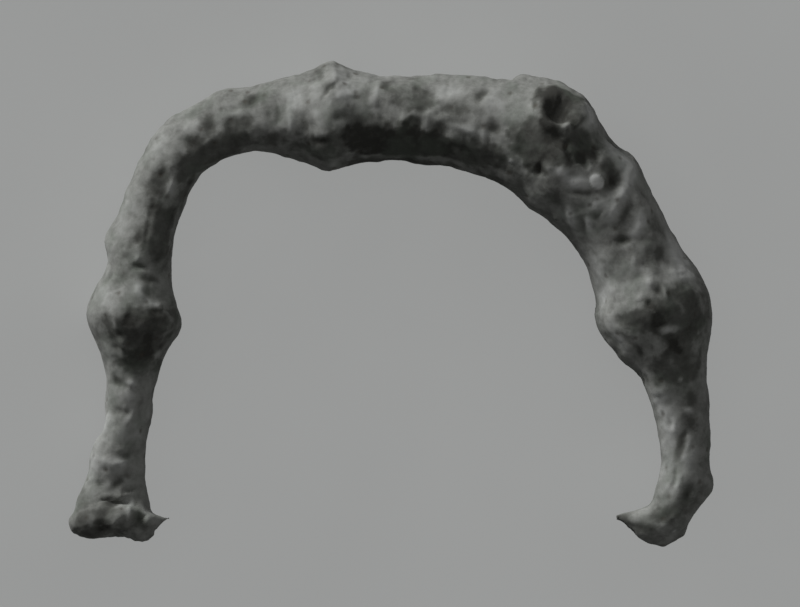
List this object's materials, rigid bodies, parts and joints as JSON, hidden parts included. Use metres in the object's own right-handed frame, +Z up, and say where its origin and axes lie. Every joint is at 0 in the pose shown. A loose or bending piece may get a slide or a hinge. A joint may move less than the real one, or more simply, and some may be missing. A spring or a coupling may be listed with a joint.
{
  "type": "fibula brooch",
  "caption": "Corroded bronze bow fibula: an arched bow with biconical swellings, a rolled catch-plate and a broken spring stub, lying on its side.",
  "frame": {"origin": "middle of the bounding box in X and Y, on the plane that the brooch rests on", "axes": "+X along the span from the catch-plate leg to the spring leg, +Y from the feet towards the crown of the bow, +Z up from the resting plane"},
  "size_m": [0.06, 0.0454, 0.0111],
  "materials": {
    "corroded_bronze": "matt dark bronze under a patchy pale grey-green corrosion crust, rough and pitted"
  },
  "bodies": {
    "root": {"fibula_bow": "corroded_bronze"}
  },
  "joints": []
}
